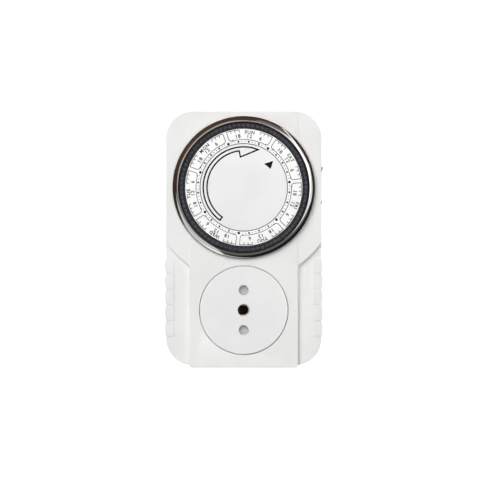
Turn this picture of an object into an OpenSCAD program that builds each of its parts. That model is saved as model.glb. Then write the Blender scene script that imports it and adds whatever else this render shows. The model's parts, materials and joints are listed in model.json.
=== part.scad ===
// Weekly plug-in programmable timer: 84-tappet dial, geared movement, switch, socket and plug.
// Drawn in a working frame (x right, y up, z towards the front, plug mating plane at z = 0)
// and turned once by local(), so the finished part stands with +Z up and its front facing -Y.

/* [Housing] */
// overall width of the case, mm
body_w = 74; // [70:1:92]
// overall height of the case, mm
body_h = 122; // [112:1:148]
// front face of the raised band above the plug mating plane, mm
body_d = 46; // [44:1:58]
// wall thickness, mm
wall = 2.2; // [1.8:0.1:2.8]
// outer corner radius, mm
corner_r = 13; // [10:0.5:16]
// width of the raised centre band, mm
band_w = 51.6; // [49:0.2:53]
// how far the lower side wings sit below the band, mm
wing_step = 2.5; // [1.2:0.1:3.2]
// radius of the arc over the wings, about the dial centre, mm
wing_arc_r = 45.3; // [42:0.1:50]
// height of the plug boss on the back, mm
boss_h = 6; // [4:0.5:8]

/* [Grip] */
// number of grip pads on each side
pad_count = 5; // [3:1:6]
// pitch of the grip pads, mm
pad_pitch = 7.5; // [6:0.1:9]
// how far the pads bulge sideways, mm
pad_bulge = 0.6; // [0.2:0.05:0.8]
// gap between neighbouring pads, mm
pad_gap = 0.6; // [0.3:0.1:1]

/* [Dial] */
// dial centre above the socket axis, mm
dial_y = 58.5; // [56:0.1:70]
// socket axis above the bottom edge, mm
socket_to_bottom = 27.3; // [26:0.1:33]
// outer radius of the glossy ring, mm
bezel_r = 33.9; // [33.2:0.1:35]
// height of the glossy ring above the band, mm
bezel_h = 3.5; // [2:0.1:5]
// outer radius of the printed scale ring, mm
scale_r = 27.9; // [27:0.1:28.2]
// radius of the fixed centre cap, mm
cap_r = 20.8; // [17:0.1:22]
// switching steps in a week
tappet_count = 84; // [84:1:84]
// clock angle of the first tappet's day edge, deg
week_angle = 31.9; // [0:0.1:51]
// clock angle of the time mark, deg
mark_angle = 46.9; // [46.9:0.1:46.9]
// width of one tappet, mm
tappet_w = 1.55; // [1.2:0.05:1.6]
// how far a tappet is pressed in, mm
tappet_press = 2.0; // [1.5:0.1:2.2]

/* [Movement] */
// teeth on the dial's own gear
dial_teeth = 40; // [36:1:44]
// teeth on the driving pinion
pinion_teeth = 10; // [9:1:12]
// module of the dial gear, mm
dial_module = 0.8; // [0.7:0.05:0.9]
// module of the train gears, mm
train_module = 0.5; // [0.45:0.05:0.55]
// play between meshing teeth, mm
gear_play = 0.16; // [0.1:0.01:0.25]

/* [Plug and socket] */
// distance between neighbouring pins, mm
pin_pitch = 9.5; // [9.5:0.1:13]
// pin diameter, mm
pin_d = 4.0; // [3.8:0.1:5]
// length of the pins in front of the boss, mm
pin_len = 19; // [17:0.5:23]
// length of the insulating sleeves, mm
sleeve_len = 10; // [8:0.5:12]
// radius of the round socket plate, mm
plate_r = 21.05; // [20:0.05:23]
// diameter of the outer socket holes, mm
hole_d = 4.5; // [4.3:0.1:5.5]
// diameter of the centre socket hole, mm
earth_hole_d = 5.6; // [4.6:0.1:6]
// how far the shutter slides, mm
shutter_travel = 5; // [4:0.1:6]

/* [Side switch] */
// length of the rocker, mm
rocker_len = 17.8; // [14:0.2:20]
// width of the rocker along the case depth, mm
rocker_w = 9; // [7:0.2:11]
// centre of the rocker above the socket axis, mm
rocker_y = 59.8; // [56:0.1:64]

/* [Hidden] */
$fn = 72;
fit = 0.05;                                // play of a shaft in its hole
pilot_r = 1.45;                            // hole that a housing screw cuts its thread in
counterbore_r = 2.9;                       // recess for a housing screw head in the back
small_pilot_r = 1.05;                      // the same holes for the movement screws
arbor_r = 0.75;                            // fast arbors of the train
shaft_r = 1;                               // slow shafts of the train
floor_z = boss_h + wall;                   // inside face of the back
part_z = boss_h + (body_d - boss_h) * 0.525;  // where the two shells meet
face_wing = body_d - wing_step;
face_shoulder = body_d - 0.4;
top_y = body_h - socket_to_bottom;
bot_y = -socket_to_bottom;
wing_bot = bot_y + 1;
half_w = body_w / 2;
pad_top = 24.9;
pad_w = 4.3;
screw_x = half_w - 8.5;
screw_top = top_y - 6.7;
screw_bot = wing_bot + 8.8;
seat_z = boss_h + 8;                       // where a housing screw head bears
post_r = 3.2;
pillar_r = 2.5;                            // posts that carry the movement
carrier_x = 7;                             // posts that carry the socket contacts

// dial stack, all measured down from the band face
web_top = body_d - 1;
web_bot = body_d - 3;
rim_bot = body_d - 7.4;
hub_bot = body_d - 12;
gear_bot = body_d - 6.8;
rim_r = 31.0;
slot_r0 = 28.6;
slot_r1 = 30.6;
tap_bot = body_d - 9.5;
tap_top = body_d + 0.6;
step_a = 360 / tappet_count;
day_n = tappet_count / 7;
bezel_in = 31.3;
spigot_r = 32.6;
bezel_seat = body_d - 0.8;
flank_a = 54;                              // slope of the ring's flank at its outer edge
flank_r = (bezel_r - bezel_in - 0.16) / (sin(flank_a) - sin(4));
stem_r = 2.5;                              // stem of the fixed cap in the chassis
hub_r = 7;
spindle_r = 4;                             // fixed spindle that the dial turns on

// movement, measured from the underside of the chassis plate
zc = body_d - 16;
chassis_t = 2;
chassis_r = 33.4;
bridge_z0 = zc - 19.5;
bridge_z1 = zc - 17.5;
gear_mid = dial_module * (dial_teeth + pinion_teeth) / 2;
n_small = 12;
n_drive = 48;
n_first = 36;
n_clutch = 40;
d_drive = train_module * (n_drive + n_small) / 2;
d_first = train_module * (n_first + n_small) / 2;
d_clutch = train_module * (n_clutch + n_small) / 2;
drive_p = [0, dial_y - gear_mid];
clutch_p = drive_p + d_drive * [cos(40), sin(40)];
rotor_p = [-4, dial_y];
span = clutch_p - rotor_p;
span_l = norm(span);
along = (d_first * d_first - d_clutch * d_clutch + span_l * span_l) / (2 * span_l);
aside = sqrt(d_first * d_first - along * along);
first_p = rotor_p + span * (along / span_l) + [-span[1], span[0]] * (aside / span_l);
chassis_posts = [[-7.5, dial_y + 28], [19, dial_y - 22.2], [-22, dial_y - 18.7]];
bridge_posts = [[-15, dial_y - 22.7], [16.2, dial_y + 12.8], [2, dial_y + 17.3]];
coil_x = -20;
stator_z0 = zc - 12;
stator_z1 = zc - 8;
coil_z = zc - 10;
magnet_r = 4.8;
lead_r = 0.6;
lead_y = dial_y - 11.6;
lead_z = coil_z - 4;

// switch
nose_r = 29.6;
nose_a = 90 - mark_angle;
nose_p = [nose_r * cos(nose_a), dial_y + nose_r * sin(nose_a)];
plunger_r = 1.2;
plunger_bot = zc - 3.88;
leaf_z0 = zc - 4.4;
leaf_z1 = zc - 3.9;
leaf_x0 = 23;
leaf_x1 = 27;
leaf_y0 = dial_y - 4.4;
leaf_y1 = dial_y + 22.8;
contact_y = dial_y + 10.3;
shelf_z = zc - 7.8;

// plug and socket
pin_r = pin_d / 2;
core_r = pin_r - 0.5;
shank_r = pin_r - 0.5;                     // pin inside the boss
collar_z = floor_z + 1.2;
plate_z = body_d - 3;
ledge_z = body_d - 5.5;
ledge_r = plate_r - 2;
carrier_z0 = body_d - 24;
carrier_z1 = body_d - 22;
tulip_r = 2.9;
tulip_top = body_d - 5.9;
shutter_z0 = body_d - 4.6;
shutter_z1 = body_d - 3.1;
rail_z = shutter_z0 - 0.9;
slot_r = pin_r + 0.3;                      // half width of the shutter's slot for the earth pin
shut_y = pin_pitch + 3.5;

// rocker
piv_x = half_w - 3.5;
rock_z = boss_h + 12;
rock_h = rocker_len / 2;

// ------------------------------------------------------------------ helpers
module local() rotate([90, 0, 0]) children();
module at_dial() translate([0, dial_y, 0]) children();
module clock(a) rotate([0, 0, 90 - a]) children();
module tube(r1, r0, z0, z1) translate([0, 0, z0]) difference() {
  cylinder(r = r1, h = z1 - z0);
  translate([0, 0, -1]) cylinder(r = r0, h = z1 - z0 + 2);
}
module rod(r, z0, z1) translate([0, 0, z0]) cylinder(r = r, h = z1 - z0);
module box(a, b) translate(a) cube(b - a);
module pane(x0, y0, x1, y1, r) {
  translate([x0 + r, y0]) square([x1 - x0 - 2 * r, y1 - y0]);
  translate([x0, y0 + r]) square([x1 - x0, y1 - y0 - 2 * r]);
  for (x = [x0 + r, x1 - r], y = [y0 + r, y1 - r]) translate([x, y]) circle(r);
}
module screw(r_head, h_head, r, len) difference() {
  union() {
    rod(r_head, 0, h_head);
    rod(r, -len, 0.2);
  }
  for (a = [0, 90]) rotate([0, 0, a]) translate([-r_head * 0.6, -0.3, h_head * 0.45])
    cube([r_head * 1.2, 0.6, h_head]);
}

// involute tooth half angle, from the pitch, base and local radius
function inv(rb, r) = let (a = acos(min(1, rb / r))) tan(a) * 180 / PI - a;
function half_a(m, n, r) = let (rp = m * n / 2, rb = rp * cos(25))
  90 / n - gear_play / rp * 45 / PI + inv(rb, rp) - inv(rb, max(r, rb));
module gear(m, n, z0, z1, turn) {
  rp = m * n / 2;
  rs = [rp - 1.05 * m, rp, rp + 0.8 * m];
  translate([0, 0, z0]) rotate([0, 0, turn]) linear_extrude(z1 - z0)
    polygon([for (i = [0:n - 1]) for (k = [0:5])
      let (r = rs[k < 3 ? k : 5 - k], a = 360 / n * i + (k < 3 ? -1 : 1) * half_a(m, n, r))
      r * [cos(a), sin(a)]]);
}
// height of the ring's flank where it slopes by a
function flank_z(a) = body_d + bezel_h - flank_r * (1 - cos(a));
// direction from p to q, and the turn that gives q's gear a gap facing p
function toward(p, q) = atan2(q[1] - p[1], q[0] - p[0]);
function gap_turn(p, q, n) = toward(p, q) + 180 + 180 / n;

// ------------------------------------------------------------------ housing
module outline() {
  pane(-half_w, wing_bot, half_w, top_y, corner_r);
  translate([-band_w / 2, bot_y]) polygon([[0.7, 0], [band_w - 0.7, 0], [band_w, 0.7],
    [band_w, 24], [0, 24], [0, 0.7]]);
}
module inside() pane(-half_w + wall, wing_bot + wall, half_w - wall, top_y - wall,
  corner_r - wall);
module band() translate([-band_w / 2, bot_y]) square([band_w, body_h]);
module upper() intersection() {
  outline();
  translate([0, dial_y]) union() {
    circle(r = wing_arc_r);
    translate([-half_w, 0]) square([body_w, top_y - dial_y]);
  }
}
module grip_pads() for (s = [-1, 1], i = [0:pad_count - 1])
  let (r = (pow(pad_pitch / 2, 2) + pad_bulge * pad_bulge) / (2 * pad_bulge))
  translate([0, pad_top - pad_pitch * (i + 0.5), 0]) intersection() {
    translate([s * (half_w + pad_bulge - r), 0, part_z + 1.5])
      cylinder(r = r, h = face_wing - part_z - 1.1);
    translate([s > 0 ? half_w - pad_w + pad_bulge : -half_w - pad_bulge,
      (pad_gap - pad_pitch) / 2, part_z]) cube([pad_w, pad_pitch - pad_gap, body_d]);
  }

module front_shell() local() color("whitesmoke") difference() {
  union() {
    difference() {
      union() {
        translate([0, 0, part_z]) linear_extrude(face_wing - part_z) outline();
        translate([0, 0, part_z]) linear_extrude(face_shoulder - part_z) upper();
        translate([0, 0, part_z]) linear_extrude(body_d - part_z) intersection() {
          outline();
          band();
        }
      }
      translate([0, 0, part_z - 1]) linear_extrude(face_wing - wall - part_z + 1) inside();
      translate([0, 0, part_z - 1]) linear_extrude(face_shoulder - wall - part_z + 1)
        intersection() {
          inside();
          translate([-half_w, dial_y - 26]) square([body_w, body_h]);
        }
      translate([0, 0, part_z - 1]) linear_extrude(body_d - wall - part_z + 1) intersection() {
        inside();
        translate([wall - band_w / 2, bot_y]) square([band_w - 2 * wall, body_h]);
      }
    }
    for (x = [-screw_x, screw_x]) {
      translate([x, screw_top, part_z]) cylinder(r = post_r, h = face_shoulder - 1 - part_z);
      translate([x, screw_bot, part_z]) cylinder(r = post_r, h = face_wing - 1 - part_z);
    }
    rod(plate_r + 2.4, ledge_z, body_d - 1);
    grip_pads();
  }
  at_dial() rod(spigot_r + fit, part_z, body_d + 1);
  at_dial() rod(bezel_r + 0.1, bezel_seat, body_d + 1);
  rod(ledge_r, ledge_z - 1, body_d + 1);
  rod(plate_r + 0.25, plate_z, body_d + 1);
  for (x = [-screw_x, screw_x], y = [screw_bot, screw_top])
    translate([x, y, part_z - 1]) cylinder(r = pilot_r, h = 11);
}

module rear_shell() local() color("gainsboro") difference() {
  union() {
    difference() {
      translate([0, 0, boss_h]) linear_extrude(part_z - boss_h) outline();
      translate([0, 0, floor_z]) linear_extrude(part_z) inside();
    }
    linear_extrude(boss_h + 0.5) union() {
      for (s = [-1, 1]) translate([0, s * 12]) circle(r = 10);
      translate([-10, -12]) square([20, 24]);
    }
    for (x = [-screw_x, screw_x], y = [screw_bot, screw_top])
      translate([x, y, floor_z - 1]) cylinder(r = post_r + 0.6, h = part_z - floor_z + 1);
    for (p = chassis_posts) translate([p[0], p[1], floor_z - 1])
      cylinder(r = pillar_r, h = zc - floor_z + 1);
    for (s = [-1, 1]) translate([s * carrier_x, 0, floor_z - 1])
      cylinder(r = 1.8, h = carrier_z0 - floor_z + 1);
    for (s = [-1, 1]) translate([piv_x, rocker_y, rock_z + s * (rocker_w / 2 + 1.4)])
      box([-2.5, -2.8, -1], [2, 2.8, 1]);
  }
  for (k = [-1:1]) translate([0, k * pin_pitch, -1]) cylinder(r = shank_r + 0.02, h = floor_z + 2);
  for (x = [-screw_x, screw_x], y = [screw_bot, screw_top]) translate([x, y, 0]) {
    rod(counterbore_r, boss_h - 1, seat_z);
    rod(pilot_r, boss_h, part_z + 1);
  }
  for (p = chassis_posts) translate([p[0], p[1], 0]) rod(small_pilot_r, zc - 10, zc + 1);
  box([half_w - wall - 0.5, rocker_y - rock_h - 0.8, rock_z - rocker_w / 2 - 0.2],
    [half_w + 1, rocker_y + rock_h + 0.8, rock_z + rocker_w / 2 + 0.2]);
  translate([piv_x, rocker_y, 0]) rod(1.25, rock_z - rocker_w / 2 - 2, rock_z + rocker_w / 2 + 2);
}

module housing_screws() local() color("silver")
  for (x = [-screw_x, screw_x], y = [screw_bot, screw_top])
    translate([x, y, seat_z]) rotate([180, 0, 0]) screw(2.7, 2.4, 1.4, part_z - boss_h + 1);

module bezel_ring() local() color("#3a2a22") at_dial() rotate_extrude()
  polygon(concat([[bezel_in, bezel_seat - 3.2], [spigot_r, bezel_seat - 3.2],
    [spigot_r, bezel_seat], [bezel_r, bezel_seat], [bezel_r, flank_z(flank_a) - 0.3]],
    [for (a = [flank_a:-5:4]) [bezel_r - 0.12 - flank_r * (sin(flank_a) - sin(a)), flank_z(a)]],
    [[bezel_in, body_d + bezel_h - 0.3]]));

// two L-shaped rails that hold the shutter under the plate, and the wall its spring leans on
module shutter_guide() {
  for (s = [0, 1]) mirror([0, s, 0]) {
    box([-14, shut_y + 0.1, rail_z], [14, shut_y + 1.5, plate_z + 0.5]);
    box([-14, shut_y - 0.8, rail_z], [14, shut_y + 1.5, shutter_z0 - 0.1]);
  }
  box([12.2, -shut_y - 1, rail_z], [13.4, shut_y + 1, plate_z + 0.5]);
}
module socket_plate() local() color("whitesmoke") difference() {
  union() {
    rod(plate_r, plate_z, body_d);
    intersection() {
      shutter_guide();
      rod(ledge_r - 0.15, rail_z, body_d);
    }
  }
  for (s = [-1, 1]) translate([0, s * pin_pitch, 0]) rod(hole_d / 2, plate_z - 1, body_d + 1);
  rod(earth_hole_d / 2, plate_z - 1, body_d + 1);
}

module rocker_button() local() color("#4a2420") translate([piv_x, rocker_y, 0]) {
  translate([0, 0, rock_z - rocker_w / 2]) linear_extrude(rocker_w) polygon([[-2, -3.8], [-2, 3.8],
    [-0.3, rock_h - 0.4], [4.9, rock_h], [2.2, 0], [4.6, -rock_h], [-0.3, -rock_h + 0.4]]);
  rod(1.2, rock_z - rocker_w / 2 - 1.8, rock_z + rocker_w / 2 + 1.8);
}

// ------------------------------------------------------------------ dial
module program_wheel() local() color("dimgray") at_dial() difference() {
  union() {
    rod(rim_r, web_bot, web_top);
    tube(rim_r, slot_r0 - 1, rim_bot, web_bot + 0.5);
    rod(hub_r, hub_bot, web_top + 0.25);
    gear(dial_module, dial_teeth, gear_bot, web_bot + 0.5, -90);
  }
  rod(spindle_r + fit, hub_bot - 1, body_d);
  difference() {
    rod(dial_module * dial_teeth / 2 - 3.4, gear_bot - 1, web_bot);
    rod(hub_r, gear_bot - 2, web_bot + 1);
  }
  for (i = [0:tappet_count - 1]) clock(week_angle + (i + 0.5) * step_a)
    box([slot_r0, -tappet_w / 2 - fit, rim_bot - 1], [slot_r1, tappet_w / 2 + fit, body_d]);
}
module scale_ring() local() color("white") at_dial()
  tube(scale_r, cap_r + 0.2, web_top, web_top + 1);
module centre_cap() local() color("ivory") at_dial() {
  rod(cap_r, web_top + 0.3, web_top + 1.2);
  rod(stem_r, web_top - 7, web_top + 0.5);
}
module tappet() rotate([90, 0, 0]) translate([0, 0, -tappet_w / 2]) linear_extrude(tappet_w)
  polygon([[slot_r0 + 0.1, tap_bot], [slot_r1 - 0.1, tap_bot], [slot_r1 - 0.1, tap_top - 0.2],
    [slot_r1 - 0.3, tap_top], [slot_r0 + 0.6, tap_top], [slot_r0 + 0.1, tap_top - 0.6]]);
module tappet_row(i0, i1) local() color("#2c2826") at_dial()
  for (i = [i0:i1]) clock(week_angle + (i + 0.5) * step_a) tappet();
module day_row(d) tappet_row(d * day_n, (d + 1) * day_n - 1);

// ------------------------------------------------------------------ movement
module chassis() local() color("burlywood") difference() {
  union() {
    at_dial() rod(chassis_r, zc, zc + chassis_t);
    at_dial() rod(hub_r - 1, zc + 1, hub_bot - fit);
    at_dial() rod(spindle_r, zc + 1, web_top + 0.3);
    translate(drive_p) rod(2.6, zc + 1, gear_bot - 0.5);
    translate(nose_p) rod(2.3, zc + 1, tap_bot - tappet_press - 0.9);
  }
  at_dial() rod(stem_r + fit, web_top - 7, body_d);
  translate(drive_p) rod(shaft_r + fit, zc - 1, body_d);
  translate(nose_p) rod(plunger_r + fit, zc - 1, body_d);
  for (p = concat(chassis_posts, bridge_posts)) translate(p) rod(small_pilot_r, zc - 1, body_d);
  translate(rotor_p) rod(arbor_r + fit, zc - 1, zc + 1.6);
  translate(first_p) rod(arbor_r + fit, zc - 1, zc + 1.6);
  translate(clutch_p) rod(shaft_r + fit, zc - 1, zc + 1.6);
}
module chassis_screws() local() color("silver") for (p = chassis_posts)
  translate([p[0], p[1], zc + chassis_t]) screw(2.1, 1.5, 1, 11);
module bridge_screws() local() color("silver") for (p = bridge_posts)
  translate([p[0], p[1], zc + chassis_t]) screw(1.9, 1.4, 1, 9);
module gear_bridge() local() color("burlywood") difference() {
  union() {
    translate([0, 0, bridge_z0]) linear_extrude(bridge_z1 - bridge_z0)
      pane(-17.5, dial_y - 25, 18.8, dial_y + 19.6, 2.4);
    for (p = bridge_posts) translate(p) rod(2, bridge_z1 - 1, zc);
    for (s = [-1, 1]) translate([-12, dial_y + s * 14]) rod(1.8, bridge_z1 - 1, stator_z0);
  }
  for (p = bridge_posts) translate(p) rod(small_pilot_r, zc - 8, zc + 1);
  for (p = chassis_posts) translate(p) rod(pillar_r + 0.9, bridge_z0 - 1, bridge_z1 + 1);
  translate(rotor_p) rod(arbor_r + fit, bridge_z0 - 1, zc);
  translate(first_p) rod(arbor_r + fit, bridge_z0 - 1, zc);
  for (p = [clutch_p, drive_p]) translate(p) rod(shaft_r + fit, bridge_z0 - 1, zc);
}
module stator_plates() local() color("slategray") translate([0, dial_y, stator_z0])
  linear_extrude(stator_z1 - stator_z0) difference() {
    union() {
      translate([coil_x - 2, -16]) square([4, 32]);
      for (s = [-1, 1]) {
        translate([coil_x - 2, s > 0 ? 12 : -16]) square([22 - coil_x - 20, 4]);
        translate([rotor_p[0] - 4, s > 0 ? 1 : -13]) square([8, 12]);
      }
    }
    translate([rotor_p[0], 0]) circle(r = magnet_r + 0.5);
  }
module coil_bobbin() local() color("ivory") translate([coil_x, dial_y, coil_z]) rotate([90, 0, 0])
  difference() {
    union() {
      rod(3.6, -11, 11);
      for (s = [-11, 10]) box([-6.8, -6.8, s], [6.8, 6.8, s + 1]);
    }
    box([-2 - fit, -2 - fit, -12], [2 + fit, 2 + fit, 12]);
  }
module coil_winding() local() color("peru") translate([coil_x, dial_y, coil_z]) rotate([90, 0, 0])
  tube(6.4, 3.6, -9.9, 9.9);
module wire(pts, r, $fn = 10) for (i = [0:len(pts) - 2]) {
  d = pts[i + 1] - pts[i];
  translate(pts[i]) {
    rotate([0, acos(d[2] / norm(d)), atan2(d[1], d[0])]) cylinder(r = r, h = norm(d));
    sphere(r = r);
  }
}
module motor_leads() local() color("royalblue") {
  wire([[coil_x + 5, lead_y, lead_z], [coil_x + 5, lead_y - 2.4, lead_z],
    [coil_x + 1.7, lead_y - 7.1, lead_z], [coil_x + 1.7, lead_y - 14, lead_z], [-19, 26, 15],
    [-12, 14, 13], [-4, pin_pitch + 1, 12.2], [-1, pin_pitch + 1, collar_z + 1.42]], lead_r);
  wire([[coil_x - 3, lead_y, lead_z], [coil_x - 3, lead_y - 2.4, lead_z],
    [coil_x - 6.3, lead_y - 5, lead_z], [coil_x - 6.3, lead_y - 10, lead_z], [-24, 26, 15],
    [-15, -2, 14], [-6, -pin_pitch, 14], [-1.15, -pin_pitch, 14]], lead_r);
}
module rotor_magnet() local() color("#33373c") translate(rotor_p)
  tube(magnet_r, arbor_r, zc - 13.5, zc - 6.6);
module rotor_arbor() local() color("silver") translate(rotor_p) {
  rod(arbor_r, bridge_z0 + 0.3, zc + 1.2);
  gear(train_module, n_small, zc - 6.6, zc - 4, toward(rotor_p, first_p));
}
module first_wheel() local() color("goldenrod") translate(first_p) {
  rod(arbor_r, bridge_z0 + 0.3, zc + 1.2);
  gear(train_module, n_first, zc - 6, zc - 4.5, gap_turn(rotor_p, first_p, n_first));
  gear(train_module, n_small, zc - 9.6, zc - 5.9, toward(first_p, clutch_p));
}
module clutch_wheel() local() color("goldenrod") translate(clutch_p) difference() {
  gear(train_module, n_clutch, zc - 9, zc - 7.2, gap_turn(first_p, clutch_p, n_clutch));
  rod(shaft_r + fit, zc - 10, zc);
}
module clutch_washer() local() color("silver") translate(clutch_p)
  tube(3, shaft_r, zc - 9.8, zc - 9.06);
module clutch_pinion() local() color("silver") translate(clutch_p) {
  rod(shaft_r, bridge_z0 + 0.3, zc + 1.2);
  rod(3.1, zc - 7.14, zc - 6.3);
  rod(1.7, zc - 11, zc - 9.8);
  gear(train_module, n_small, zc - 3.6, zc - 1, gap_turn(drive_p, clutch_p, n_small));
}
module drive_gear() local() color("goldenrod") translate(drive_p) {
  rod(shaft_r, bridge_z0 + 0.3, web_bot - 0.3);
  gear(train_module, n_drive, zc - 3.4, zc - 1.2, toward(drive_p, clutch_p));
  gear(dial_module, pinion_teeth, gear_bot + 0.2, web_bot - 0.3, 90 + 180 / pinion_teeth);
}

// ------------------------------------------------------------------ switch
module switch_plunger() local() color("lightsteelblue") translate(nose_p) {
  rod(plunger_r, plunger_bot, tap_bot - 2.5);
  rod(2.1, plunger_bot + 0.6, plunger_bot + 1.6);
  rotate([0, 0, nose_a]) translate([-0.9, 0, tap_bot]) rotate([90, 0, 90]) linear_extrude(1.8)
    polygon([[-0.75, -2.6], [0.75, -2.6], [0.75, -2], [0.3, -0.32], [-0.3, -0.32], [-0.75, -2]]);
}
module contact_leaf() local() color("goldenrod") {
  box([leaf_x0, leaf_y0, leaf_z0], [leaf_x1, leaf_y1, leaf_z1]);
  box([nose_p[0] - 2, dial_y + 17.4, leaf_z0], [leaf_x1, leaf_y1, leaf_z1]);
  translate([leaf_x0 + 2, contact_y, 0]) rod(1.5, leaf_z0 - 0.6, leaf_z0 + 0.1);
}
module switch_block() local() color("darkslategray") translate([leaf_x0, 0, 0])
  rotate([90, 0, 90]) linear_extrude(7.5) polygon([[dial_y - 12.7, floor_z],
    [dial_y + 14.3, floor_z], [dial_y + 14.3, shelf_z], [dial_y - 2.7, shelf_z],
    [dial_y - 2.7, leaf_z0 - 2.6], [dial_y - 4.9, leaf_z0], [dial_y - 12.7, leaf_z0]]);
module fixed_contact() local() color("goldenrod") {
  box([leaf_x0 - 1, contact_y - 2, collar_z + 4], [leaf_x0 - 0.05, contact_y + 2, shelf_z + 0.8]);
  box([leaf_x0 - 1, contact_y - 2, shelf_z], [leaf_x1, contact_y + 2, shelf_z + 0.8]);
  translate([leaf_x0 + 2, contact_y, 0]) rod(1.5, shelf_z + 0.7, leaf_z0 - 1.85);
}
module live_in_strap() local() color("peru") {
  box([-2, pin_pitch - 2, collar_z], [leaf_x0 - 0.1, pin_pitch + 2, collar_z + 0.8]);
  box([leaf_x0 - 0.9, pin_pitch - 2, collar_z], [leaf_x0 - 0.1, contact_y + 2, collar_z + 4]);
}
module live_out_strap() local() color("peru") difference() {
  union() {
    box([leaf_x0, pin_pitch - 2, leaf_z0], [leaf_x1, leaf_y0 - 0.3, leaf_z0 + 0.8]);
    box([0, pin_pitch - 2, leaf_z0], [leaf_x1, pin_pitch + 2, leaf_z0 + 0.8]);
  }
  translate([0, pin_pitch, 0]) rod(tulip_r, leaf_z0 - 1, leaf_z0 + 2);
}
module neutral_strap() local() color("peru")
  box([-0.5, -pin_pitch - 2, collar_z], [0.5, -pin_pitch + 2, carrier_z1]);
module earth_strap() local() color("peru") box([-0.5, -2, collar_z], [0.5, 2, carrier_z1]);

// ------------------------------------------------------------------ plug and socket
module bare_pin(y) translate([0, y, 0]) {
  translate([0, 0, -pin_len]) cylinder(r1 = pin_r - 0.8, r2 = pin_r, h = 1);
  rod(pin_r, 1 - pin_len, 0);
  rod(shank_r, 0, floor_z);
  rod(3.2, floor_z, collar_z);
}
module sleeved_pin(y) difference() {
  bare_pin(y);
  translate([0, y, 0]) tube(pin_r + 1, core_r, -sleeve_len, 0);
}
module live_pin() local() color("silver") sleeved_pin(pin_pitch);
module neutral_pin() local() color("silver") sleeved_pin(-pin_pitch);
module earth_pin() local() color("silver") bare_pin(0);
module pin_sleeves() local() color("#222222") for (s = [-1, 1]) translate([0, s * pin_pitch, 0])
  tube(pin_r, core_r, -sleeve_len, 0);
module tulip(y) local() color("gold") translate([0, y, 0]) difference() {
  rod(tulip_r, carrier_z1, tulip_top);
  rod(pin_r + 0.1, carrier_z1 + 1, tulip_top + 1);
  for (a = [0, 90]) rotate([0, 0, a + 45]) box([-4, -0.35, carrier_z1 + 5], [4, 0.35, tulip_top + 1]);
}
module contact_carrier() local() color("ivory") difference() {
  union() {
    box([-9, -pin_pitch - 7, carrier_z0], [9, pin_pitch + 7, carrier_z1]);
    for (k = [-1:1]) translate([0, k * pin_pitch, 0]) rod(4.2, carrier_z1 - 0.5, carrier_z1 + 6);
  }
  for (k = [-1:1]) translate([0, k * pin_pitch, 0]) rod(tulip_r + fit, carrier_z1, body_d);
  for (k = [-1:0]) box([-0.6, k * pin_pitch - 2.1, carrier_z0 - 1], [0.6, k * pin_pitch + 2.1, body_d]);
  box([0, pin_pitch - 2.1, leaf_z0 - 0.2], [10, pin_pitch + 2.1, body_d]);
}
module shutter() local() color("lightgray") difference() {
  box([-9, -shut_y, shutter_z0], [4, shut_y, shutter_z1]);
  for (s = [-1, 1]) translate([-shutter_travel, s * pin_pitch, 0])
    rod(hole_d / 2 + 0.15, shutter_z0 - 1, body_d);
  for (x = [-shutter_travel, 0]) translate([x, 0, 0])
    rod(slot_r, shutter_z0 - 1, body_d);
  box([-shutter_travel, -slot_r, shutter_z0 - 1], [0, slot_r, body_d]);
}
module shutter_spring() local() color("silver")
  translate([4.05, pin_pitch - 0.5, (shutter_z0 + shutter_z1) / 2]) rotate([0, 90, 0]) {
    for (i = [0:6]) translate([0, 0, 0.2 + i * 1.28]) rotate_extrude() translate([0.45, 0]) circle(r = 0.2);
    for (i = [0:5]) translate([i % 2 ? 0.45 : -0.45, 0, 0.2 + i * 1.28]) cylinder(r = 0.2, h = 1.28);
  }

// ------------------------------------------------------------------ assembly
front_shell();
rear_shell();
bezel_ring();
socket_plate();
housing_screws();
rocker_button();
program_wheel();
scale_ring();
centre_cap();
day_row(1);  // tappets_fri
day_row(2);  // tappets_thu
day_row(3);  // tappets_wed
day_row(4);  // tappets_tue
day_row(5);  // tappets_mon
day_row(6);  // tappets_sun
tappet_row(0, 0);  // tappet_sat_01
tappet_row(1, 1);  // tappet_sat_02
tappet_row(2, 2);  // tappet_sat_03
tappet_row(3, 3);  // tappet_sat_04
tappet_row(4, 4);  // tappet_sat_05
tappet_row(5, 5);  // tappet_sat_06
tappet_row(6, 6);  // tappet_sat_07
tappet_row(7, 7);  // tappet_sat_08
tappet_row(8, 8);  // tappet_sat_09
tappet_row(9, 9);  // tappet_sat_10
tappet_row(10, 10);  // tappet_sat_11
tappet_row(11, 11);  // tappet_sat_12
chassis();
chassis_screws();
gear_bridge();
bridge_screws();
stator_plates();
coil_bobbin();
coil_winding();
motor_leads();
rotor_magnet();
rotor_arbor();
first_wheel();
clutch_wheel();
clutch_washer();
clutch_pinion();
drive_gear();
switch_plunger();
contact_leaf();
switch_block();
fixed_contact();
live_pin();
neutral_pin();
earth_pin();
pin_sleeves();
live_in_strap();
live_out_strap();
neutral_strap();
earth_strap();
tulip(pin_pitch);  // live_contact
tulip(-pin_pitch);  // neutral_contact
tulip(0);  // earth_contact
contact_carrier();
shutter();
shutter_spring();
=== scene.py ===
# %% [markdown]
# # A weekly plug-in timer
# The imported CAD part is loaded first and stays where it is. Everything below either gives a CAD
# piece its finish, or builds a finer piece that rides on the same body and stands for it.
# All lengths are in millimetres until MM turns them into Blender's metres.

import json
import math

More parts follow.
